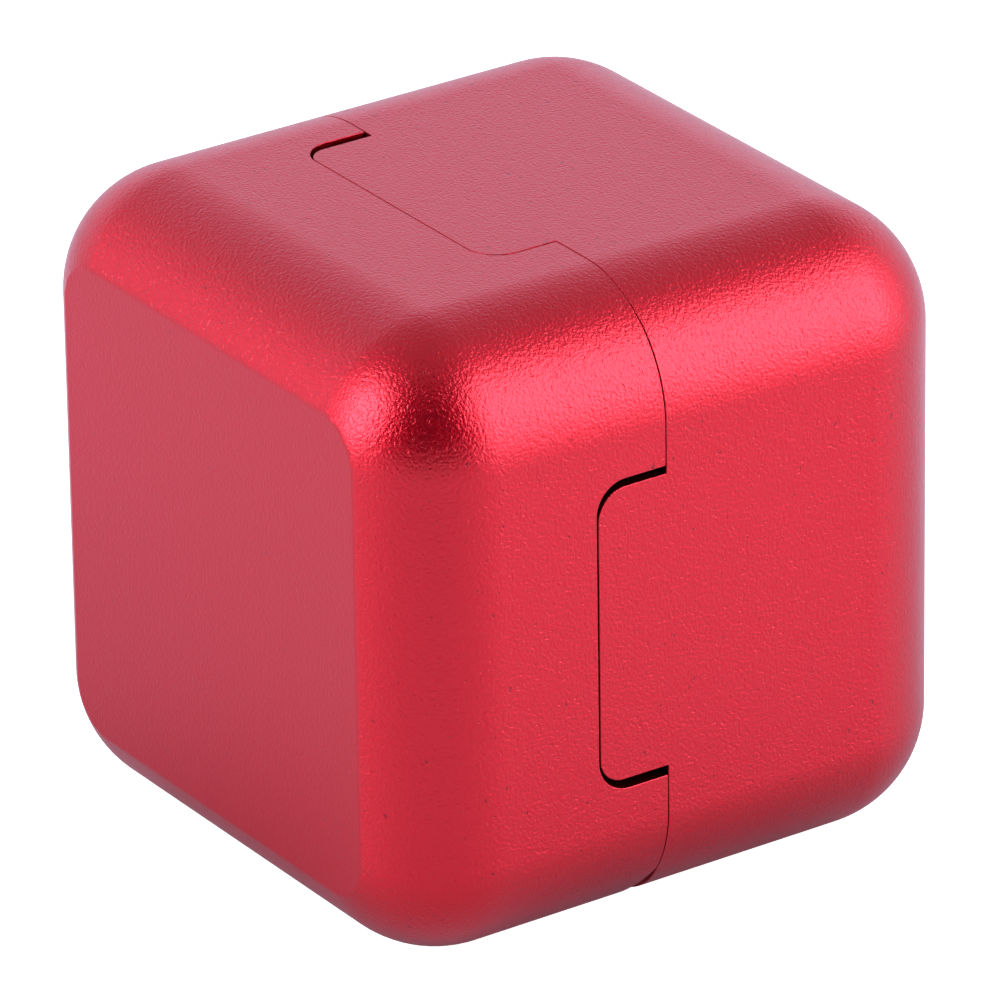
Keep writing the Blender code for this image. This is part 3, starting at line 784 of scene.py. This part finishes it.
class Nodes:
    """A material's node tree, with short calls to add nodes and to link them."""

    def __init__(self, name):
        self.material = bpy.data.materials.new(name)
        self.material.use_nodes = True
        self.tree = self.material.node_tree
        self.shader = self.tree.nodes["Principled BSDF"]
        self.position = self.add("ShaderNodeTexCoord").outputs["Object"]

    def add(self, kind, settings=None, **inputs):
        node = self.tree.nodes.new(kind)
        for key, value in (settings or {}).items():
            setattr(node, key, value)
        for key, value in inputs.items():
            self.feed(node.inputs[int(key[1:]) if key[0] == "_" else key.replace("_", " ")], value)
        return node

    def feed(self, socket, value):
        if isinstance(value, bpy.types.NodeSocket):
            self.tree.links.new(value, socket)
        else:
            socket.default_value = value

    def noise(self, size, detail=2.0, roughness=0.5, stretch=(1, 1, 1)):
        """Noise whose features are about size metres across, drawn out by stretch."""
        scale = [1 / (size * s) for s in stretch]
        moved = self.add("ShaderNodeMapping", Vector=self.position, Scale=scale).outputs[0]
        node = self.add(
            "ShaderNodeTexNoise", Vector=moved, Scale=1.0, Detail=detail, Roughness=roughness
        )
        return node.outputs["Fac"]

    def remap(self, value, low, high, to_low, to_high, smooth=False):
        node = self.add(
            "ShaderNodeMapRange",
            {"interpolation_type": "SMOOTHSTEP" if smooth else "LINEAR"},
            Value=value,
            From_Min=low,
            From_Max=high,
            To_Min=to_low,
            To_Max=to_high,
        )
        return node.outputs[0]

    def math(self, operation, a, b=0.0):
        return self.add("ShaderNodeMath", {"operation": operation}, _0=a, _1=b).outputs[0]

    def mix(self, factor, a, b):
        node = self.add("ShaderNodeMix", {"data_type": "RGBA"})
        for index, value in ((0, factor), (6, a), (7, b)):
            self.feed(node.inputs[index], value)
        return node.outputs[2]

    def bump(self, height, distance, strength=1.0, normal=None):
        node = self.add("ShaderNodeBump", Height=height, Distance=distance, Strength=strength)
        if normal is not None:
            self.feed(node.inputs["Normal"], normal)
        return node.outputs[0]

    def edge(self, radius):
        """0 on open faces and 1 on convex or concave edges, from how far a rounded normal leans."""
        rounded = self.add("ShaderNodeBevel", {"samples": 4}, Radius=radius).outputs[0]
        plain = self.add("ShaderNodeNewGeometry").outputs["Normal"]
        lean = self.add("ShaderNodeVectorMath", {"operation": "DOT_PRODUCT"}, _0=rounded, _1=plain)
        return self.remap(lean.outputs["Value"], 0.98, 0.8, 0.0, 1.0, True)

    def open_air(self, reach):
        """1 on open faces, falling to 0 on walls that have another wall within reach."""
        node = self.add("ShaderNodeAmbientOcclusion", {"samples": 4}, Distance=reach)
        return self.remap(node.outputs["AO"], 0.35, 0.85, 0.0, 1.0)

    def facing_y(self):
        """1 on flat faces square to the Y axis and 0 elsewhere."""
        normal = self.add("ShaderNodeTexCoord").outputs["Normal"]
        lean = self.add("ShaderNodeSeparateXYZ", Vector=normal).outputs["Y"]
        return self.remap(self.math("ABSOLUTE", lean), 0.95, 0.99, 0.0, 1.0)

    def set(self, **inputs):
        for key, value in inputs.items():
            self.feed(self.shader.inputs[key.replace("_", " ")], value)


# The red finish
RED = (0.71, 0.0, 0.016, 1)
# painted shade: the pits are darkened in colour as well as sunk by the bump
PIT_SHADE_RED = (0.2, 0.0, 0.004, 1)
# painted shade: the dark red put on walls that stand close to other walls, in gaps and grooves
GAP_SHADE_RED = (0.25, 0.0, 0.005, 1)
RIM_TINT = (1.0, 0.75, 0.9, 1)
# edges: partly wear, partly a painted highlight standing in for light caught by the seam chamfers
WEAR_AND_GLINT_RED = (0.9, 0.12, 0.16, 1)
GRAIN_SIZE = 0.15 * MM
DIMPLE_SIZE = 0.22 * MM
PIT_SIZE = 0.26 * MM
BLAST_DEPTH = 0.04 * MM
END_BLAST = 0.4
WEAR_AND_GLINT_WIDTH = 0.07 * MM
# how near another wall must be for the painted gap shade to fall
GAP_SHADE_REACH = 0.8 * MM
RING_PITCH = 0.09 * MM

# The bare metals: colour, roughness, the way the scratches are drawn out, their depth, edge wear
EVENLY, ALONG_X, ALONG_YZ = (1, 1, 1), (12, 1, 1), (1, 12, 12)
METALS = {
    "leaf_steel": ((0.56, 0.55, 0.53, 1), 0.26, ALONG_YZ, 0.004 * MM, 0.6),
    "pin_steel": ((0.63, 0.62, 0.6, 1), 0.16, ALONG_X, 0.002 * MM, 0.4),
    "screw_steel": ((0.4, 0.39, 0.38, 1), 0.3, EVENLY, 0.003 * MM, 0.8),
    "nickel_plate": ((0.72, 0.69, 0.62, 1), 0.1, EVENLY, 0.001 * MM, 0.3),
    "cage_brass": ((0.72, 0.48, 0.2, 1), 0.25, EVENLY, 0.003 * MM, 0.5),
    "ball_steel": ((0.68, 0.68, 0.68, 1), 0.06, EVENLY, 0.0005 * MM, 0.0),
}
RING_STEEL = (0.6, 0.6, 0.59, 1)
RING_STEEL_ROUGHNESS = 0.14


def anodised(name, rings=False):
    """Bead-blasted aluminium under a dyed satin coat. The cut ends are smoother. Gaps and pits get
    painted shade, and edges a lighter red that is partly wear and partly painted highlight.
    """
    n = Nodes(name)
    grain = n.noise(GRAIN_SIZE, 2.5, 0.55)
    dimples = n.remap(n.noise(DIMPLE_SIZE, 1.0), 0.6, 0.72, 0.0, 1.0, True)
    pits = n.remap(n.noise(PIT_SIZE, 0.0), 0.82, 0.85, 0.0, 1.0)
    height = n.math("SUBTRACT", grain, n.math("MULTIPLY", dimples, 0.2))
    height = n.math("SUBTRACT", height, n.math("MULTIPLY", pits, 0.4))
    patchy = n.remap(n.noise(0.8 * MM), 0.4, 0.65, 0.2, 0.6)
    # lighter red on edges in patches: partly wear and partly painted highlight along the seams
    wear_and_glint = n.math("MULTIPLY", n.edge(WEAR_AND_GLINT_WIDTH), patchy)
    # painted shade: gaps and grooves darken to the gap red and lose their coat, by ambient occlusion
    unshaded = n.open_air(GAP_SHADE_REACH)
    # painted shade in the pits: their colour darkens towards the pit red
    tint = n.mix(n.math("MULTIPLY", pits, 0.6), RED, PIT_SHADE_RED)
    tint = n.mix(wear_and_glint, n.mix(unshaded, GAP_SHADE_RED, tint), WEAR_AND_GLINT_RED)
    blast = n.remap(n.facing_y(), 0.0, 1.0, 1.0, END_BLAST)
    normal = n.bump(height, BLAST_DEPTH, blast)
    if rings:
        normal = n.bump(turning_marks(n), 0.01 * MM, 0.5, normal)
    n.set(
        Base_Color=tint,
        Specular_Tint=RIM_TINT,
        Metallic=1.0,
        Roughness=n.remap(n.noise(0.6 * MM), 0.3, 0.7, 0.36, 0.4),
        # less coat in the gaps: painted shade on the coat's reflection
        Coat_Weight=unshaded,
        Coat_Roughness=0.2,
        Coat_IOR=1.45,
        Normal=normal,
        Coat_Normal=normal,
    )
    return n.material


def turning_marks(n):
    """Fine rings about Z, as a lathe leaves them."""
    split = n.add("ShaderNodeSeparateXYZ", Vector=n.position).outputs
    squares = [n.math("MULTIPLY", side, side) for side in split[:2]]
    radius = n.math("DIVIDE", n.math("SQRT", n.math("ADD", *squares)), RING_PITCH)
    along = n.add("ShaderNodeCombineXYZ", X=radius).outputs[0]
    return n.add("ShaderNodeTexNoise", Vector=along, Scale=1.0, Detail=2.0).outputs["Fac"]


def plain_metal(name, colour, roughness, stretch, depth, wear):
    """Ground or polished metal: fine scratches along one way, smudged gloss, brighter edges."""
    n = Nodes(name)
    lines = n.noise(0.05 * MM, 3.0, 0.6, stretch)
    smudge = n.noise(1.6 * MM, 3.0)
    bright = tuple(min(1.0, c * 1.25) for c in colour[:3]) + (1,)
    dark = tuple(c * 0.8 for c in colour[:3]) + (1,)
    tint = n.mix(n.remap(smudge, 0.3, 0.7, 0.0, 1.0), colour, dark)
    tint = n.mix(n.math("MULTIPLY", n.edge(0.06 * MM), wear), tint, bright)
    streaks = n.remap(lines, 0.3, 0.7, roughness, roughness + 0.05)
    rough = n.math("ADD", n.remap(smudge, 0.3, 0.7, -0.04, 0.05), streaks)
    n.set(
        Base_Color=tint,
        Metallic=1.0,
        Roughness=rough,
        Normal=n.bump(lines, depth, 0.5),
    )
    return n.material


def turned_metal(name, colour, roughness):
    """Metal as it comes off a lathe: fine rings about Z and smudged gloss."""
    n = Nodes(name)
    marks = turning_marks(n)
    smudge = n.noise(1.2 * MM, 3.0)
    dark = tuple(c * 0.82 for c in colour[:3]) + (1,)
    n.set(
        Base_Color=n.mix(n.remap(smudge, 0.3, 0.7, 0.0, 1.0), colour, dark),
        Metallic=1.0,
        Roughness=n.remap(smudge, 0.3, 0.7, roughness, roughness + 0.08),
        Normal=n.bump(marks, 0.004 * MM, 0.5),
    )
    return n.material


# ---------------------------------------------------------------- the toy


def build_toy():
    """Every piece, with its material, its body and the CAD node it stands for."""
    red = anodised("red_anodised")
    red_turned = anodised("red_anodised_turned", rings=True)
    metal = {name: plain_metal(name, *look) for name, look in METALS.items()}
    ring_steel = turned_metal("ring_steel", RING_STEEL, RING_STEEL_ROUGHNESS)

    for name, away in SIDES:
        body = f"{name}_half"
        finished(shell(name, away), body, f"{name}_shell", red)
        finished(hinge_leaf(name, away), body, f"{name}_hinge_leaf", metal["leaf_steel"])
        for side, place in zip(("left", "right"), screw_places(away)):
            node = f"{name}_leaf_screw_{side}"
            finished(leaf_screw(f"{node}_body", place), body, node, metal["screw_steel"])
        for node, shape in magnets(name, away).items():
            disc = new_object(f"{node}_body", shape)
            finished(disc, body, node, metal["nickel_plate"])
        pin = new_object(f"{name}_hinge_pin_body", hinge_pin(away))
        finished(pin, "block", f"{name}_hinge_pin", metal["pin_steel"])

    finished(bearing_block(), "block", "bearing_block", red)
    finished(retaining_ring(), "block", "retaining_ring", metal["screw_steel"])
    outer = new_object("bearing_outer_ring_body", bearing_ring(BEARING_OUTER, OUTER_SHOULDER, False))
    finished(outer, "block", "bearing_outer_ring", ring_steel)
    inner = new_object("bearing_inner_ring_body", bearing_ring(BEARING_BORE, INNER_SHOULDER, True))
    finished(inner, "caps", "bearing_inner_ring", ring_steel)
    low = new_object("lower_finger_cap_body", lower_cap())
    finished(low, "caps", "lower_finger_cap", red_turned)
    high = new_object("upper_finger_cap_body", upper_cap())
    finished(high, "caps", "upper_finger_cap", red_turned)
    finished(bearing_cage(), "ball_set", "bearing_cage", metal["cage_brass"])
    for number, turn in enumerate(ball_angles(), 1):
        node = f"bearing_ball_{number:02d}"
        ball = new_object(f"{node}_body", bearing_ball(turn))
        finished(ball, "ball_set", node, metal["ball_steel"])


# ---------------------------------------------------------------- studio


def direction(azimuth, elevation):
    """The unit vector towards an azimuth, counted from -Y towards +X, and an elevation."""
    a, e = math.radians(azimuth), math.radians(elevation)
    return Vector((math.sin(a) * math.cos(e), -math.cos(a) * math.cos(e), math.sin(e)))


def softbox(name, azimuth, elevation, width, height, radiance):
    """A rectangle of light that faces the cube. Its width and height are angles as the cube sees it."""
    light = bpy.data.lights.new(name, "AREA")
    light.shape = "RECTANGLE"
    light.size = 2 * SOFTBOX_DISTANCE * math.tan(math.radians(width / 2))
    light.size_y = 2 * SOFTBOX_DISTANCE * math.tan(math.radians(height / 2))
    light.energy = radiance * math.pi * light.size * light.size_y
    light.color = COOL_WHITE[:3]
    box = bpy.data.objects.new(name, light)
    towards = direction(azimuth, elevation)
    box.location = Vector((0, 0, MID_Z)) + towards * SOFTBOX_DISTANCE
    box.rotation_mode = "QUATERNION"
    box.rotation_quaternion = towards.to_track_quat("Z", "Y")
    box.visible_camera = False
    bpy.context.scene.collection.objects.link(box)


def softboxes():
    """Two tall softboxes, one on either side of the camera."""
    softbox("left_softbox", -8, 26, 30, 40, 5.0)
    softbox("right_softbox", 128, 23, 42, 52, 3.5)


def surround():
    """White to the camera. As light, a pale surround that falls to black round the camera."""
    world = bpy.data.worlds.new("surround")
    world.use_nodes = True
    bpy.context.scene.world = world
    tree = world.node_tree
    towards = tree.nodes.new("ShaderNodeTexCoord").outputs["Generated"]
    facing = tree.nodes.new("ShaderNodeVectorMath")
    facing.operation = "DOT_PRODUCT"
    facing.inputs[1].default_value = direction(DARK_AZIMUTH, 0)
    tree.links.new(towards, facing.inputs[0])
    level = tree.nodes.new("ShaderNodeMapRange")
    level.interpolation_type = "SMOOTHSTEP"
    for key, value in (("From Min", 0.1), ("From Max", 0.7), ("To Max", DARK_LEVEL)):
        level.inputs[key].default_value = value
    tree.links.new(facing.outputs["Value"], level.inputs["Value"])
    height = tree.nodes.new("ShaderNodeSeparateXYZ")
    tree.links.new(towards, height.inputs[0])
    dim = tree.nodes.new("ShaderNodeMapRange")
    for key, value in (("From Min", 0.3), ("From Max", 0.85)):
        dim.inputs[key].default_value = value
    dim.inputs["To Min"].default_value = HORIZON_LEVEL
    dim.inputs["To Max"].default_value = OVERHEAD_LEVEL
    tree.links.new(height.outputs["Z"], dim.inputs["Value"])
    tree.links.new(dim.outputs[0], level.inputs["To Min"])
    seen = tree.nodes.new("ShaderNodeLightPath").outputs["Is Camera Ray"]
    strength = tree.nodes.new("ShaderNodeMath")
    strength.operation = "MAXIMUM"
    tree.links.new(seen, strength.inputs[0])
    tree.links.new(level.outputs[0], strength.inputs[1])
    background = tree.nodes["Background"]
    background.inputs["Color"].default_value = COOL_WHITE
    tree.links.new(strength.outputs[0], background.inputs["Strength"])


def floor():
    """A pale floor, painted darker near the cube as painted shade, clear from below and where it touches
    the cube, so the underside can be seen.
    """
    shape = bmesh.new()
    bmesh.ops.create_grid(shape, x_segments=1, y_segments=1, size=2.0)
    plane = new_object("floor", shape)
    n = Nodes("floor_paint")
    away = n.add("ShaderNodeVectorMath", {"operation": "LENGTH"}, _0=n.position).outputs["Value"]
    # painted shade round the cube: the floor colour runs from the shaded near grey to the far grey
    far = n.remap(away, FLOOR_NEAR_REACH, FLOOR_FAR_REACH, 0.0, 1.0, True)
    ray = n.add("ShaderNodeLightPath").outputs
    n.set(
        Base_Color=n.mix(far, FLOOR_SHADED, FLOOR_FAR),
        Roughness=0.6,
        Emission_Color=(1, 1, 1, 1),
        Emission_Strength=ray["Is Camera Ray"],
    )
    below = n.add("ShaderNodeNewGeometry").outputs["Backfacing"]
    touching = n.math("LESS_THAN", ray["Ray Length"], FLOOR_TOUCH)
    clear = n.add("ShaderNodeBsdfTransparent").outputs[0]
    seen = n.add("ShaderNodeMixShader", _0=n.math("MAXIMUM", below, touching), _2=clear)
    n.tree.links.new(n.shader.outputs[0], seen.inputs[1])
    n.tree.links.new(seen.outputs[0], n.tree.nodes["Material Output"].inputs["Surface"])
    plane.data.materials.append(n.material)


def camera():
    """A long lens on the corner between the front end and the right side, from a little above."""
    eye = direction(CAMERA_AZIMUTH, CAMERA_ELEVATION)
    across = Vector((0, 0, 1)).cross(eye).normalized()
    upward = eye.cross(across)
    tilt = Matrix.Rotation(math.radians(-CAMERA_ROLL), 3, -eye)
    across, upward = tilt @ across, tilt @ upward
    centre = Vector((0, 0, MID_Z))
    place = centre + eye * CAMERA_DISTANCE
    back = (place - (centre + across * AIM_RIGHT - upward * AIM_DOWN)).normalized()
    across = upward.cross(back).normalized()
    upward = back.cross(across)
    lens = bpy.data.cameras.new("camera")
    lens.lens = CAMERA_LENS
    lens.sensor_width = 36
    lens.clip_start = 0.01
    lens.clip_end = 10
    view = bpy.data.objects.new("camera", lens)
    view.matrix_world = Matrix.Translation(place) @ Matrix((across, upward, back)).transposed().to_4x4()
    bpy.context.scene.collection.objects.link(view)
    bpy.context.scene.camera = view


build_toy()
softboxes()
surround()
floor()
camera()
bpy.context.scene.view_settings.view_transform = "Standard"
